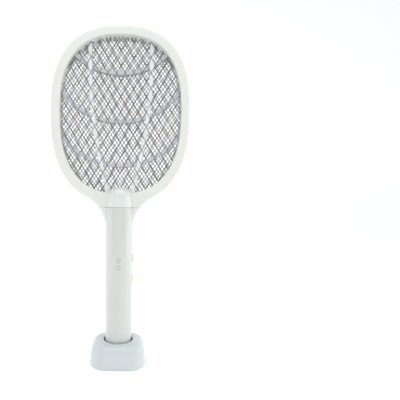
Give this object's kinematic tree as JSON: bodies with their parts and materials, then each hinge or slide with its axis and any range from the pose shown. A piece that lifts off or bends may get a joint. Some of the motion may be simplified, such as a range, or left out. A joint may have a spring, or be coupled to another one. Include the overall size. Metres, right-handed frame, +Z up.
{
  "type": "electric fly swatter",
  "caption": "Racket shaped rechargeable fly swatter with guarded high voltage screens, standing upright in a small rounded charging dock.",
  "frame": {"origin": "middle of the surface that the dock stands on", "axes": "+Z up along the handle, -Y out of the front, +X to the right seen from the front, where the button and knob are"},
  "size_m": [0.2024, 0.07, 0.4888],
  "materials": {
    "rim_plastic": "satin moulded, greenish white",
    "handle_plastic": "glossy moulded, greenish white",
    "dock_plastic": "satin gloss, bluish white",
    "guard_metal": "stretched steel sheet",
    "grid_metal": "stretched aluminium sheet",
    "separator_plastic": "white insulating plastic",
    "screw_steel": "plated steel",
    "contact_metal": "plated contact",
    "board": "green solder mask",
    "cell_wrap": "shrink wrapped cell",
    "transformer": "tape wrapped core",
    "capacitor": "dipped",
    "switch_black": "black moulded",
    "lamp": "clear resin lamp",
    "window_plastic": "milky translucent",
    "button_plastic": "pinkish white",
    "knob_plastic": "cream",
    "lead_red": "insulated wire",
    "lead_black": "insulated wire",
    "foot_rubber": "matt rubber",
    "inlet_steel": "bright steel shell"
  },
  "bodies": {
    "dock": {"dock_shell": "dock_plastic", "dock_base_plate": "dock_plastic", "dock_feet": "foot_rubber", "dock_screws": "screw_steel", "dock_board": "board", "dock_inlet_shell": "inlet_steel", "dock_inlet_tongue": "switch_black", "contact_carrier": "switch_black", "contact_pins": "contact_metal", "dock_leads": "lead_red"},
    "racket": {"battery_cell": "cell_wrap", "battery_leads": "lead_red", "battery_tabs": "screw_steel", "bleed_resistor": "capacitor", "button_switch": "switch_black", "charge_leads": "lead_red", "charge_pads": "contact_metal", "front_guard_mesh": "guard_metal", "front_separator": "separator_plastic", "grid_lead": "lead_red", "guard_jumper": "lead_black", "guard_lead": "lead_black", "handle_end_cap": "handle_plastic", "handle_front_shell": "handle_plastic", "handle_rear_shell": "handle_plastic", "handle_screws": "screw_steel", "high_voltage_capacitors": "capacitor", "high_voltage_grid": "grid_metal", "hoop_front_cover": "rim_plastic", "hoop_rear_cover": "rim_plastic", "hoop_screws": "screw_steel", "indicator_lamps": "lamp", "indicator_windows": "window_plastic", "main_board": "board", "mode_switch_body": "switch_black", "rear_guard_mesh": "guard_metal", "rear_separator": "separator_plastic", "rectifier_diodes": "switch_black", "step_up_transformer": "transformer"},
    "zap_button": {"zap_button": "button_plastic", "switch_plunger": "switch_black"},
    "mode_knob": {"mode_switch_knob": "knob_plastic", "mode_switch_lever": "switch_black"}
  },
  "joints": [
    {"name": "racket_lift", "type": "slide", "parent": "dock", "child": "racket", "axis": [0, 0, 1], "range_m": [0, 0.04]},
    {"name": "zap_press", "type": "slide", "parent": "racket", "child": "zap_button", "axis": [-1, 0, 0], "range_m": [0, 0.0008], "stiffness_N_per_m": 300},
    {"name": "mode_slide", "type": "slide", "parent": "racket", "child": "mode_knob", "axis": [0, 0, 1], "range_m": [0, 0.005]}
  ]
}
